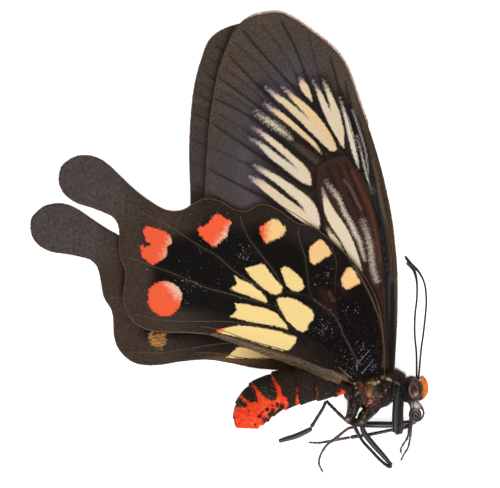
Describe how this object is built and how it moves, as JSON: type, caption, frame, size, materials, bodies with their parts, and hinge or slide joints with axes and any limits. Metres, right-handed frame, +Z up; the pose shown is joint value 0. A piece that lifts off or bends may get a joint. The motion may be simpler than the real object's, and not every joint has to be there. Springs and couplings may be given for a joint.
{
  "type": "dried swallowtail butterfly specimen",
  "caption": "Dried clubtail swallowtail butterfly lying on its side with closed wings, spatulate tails, red-tipped abdomen and folded legs.",
  "frame": {"origin": "on the surface the butterfly lies on, below the middle of its outline", "axes": "+Z up from the surface, across the body from its left side to its right; +Y towards the forewing tips; +X towards the head"},
  "size_m": [0.0596, 0.069, 0.0063],
  "materials": {
    "forewing": "dark brown wing scales with pale rays, softly matt with a faint violet sheen",
    "hindwing": "black-brown wing scales with cream patches and red spots, softly matt",
    "thorax": "amber and red-brown cuticle, glossy, with dark hair",
    "abdomen": "dark scaled back plates over red scaled sides and tip",
    "head": "dark hair",
    "eye": "glossy dark red-brown",
    "palp": "orange hair",
    "proboscis": "glossy brown-black",
    "antenna": "satin black",
    "leg": "dull black-brown with pale wear"
  },
  "bodies": {
    "root": {"thorax": "thorax", "abdomen": "abdomen", "head": "head", "eye_left": "eye", "eye_right": "eye", "palp_left": "palp", "palp_right": "palp", "proboscis": "proboscis", "antenna_left": "antenna", "antenna_right": "antenna", "forewing_left": "forewing", "forewing_right": "forewing", "hindwing_left": "hindwing", "hindwing_right": "hindwing", "leg_fore_left": "leg", "leg_fore_right": "leg", "leg_mid_left": "leg", "leg_mid_right": "leg", "leg_hind_left": "leg", "leg_hind_right": "leg"}
  },
  "joints": []
}
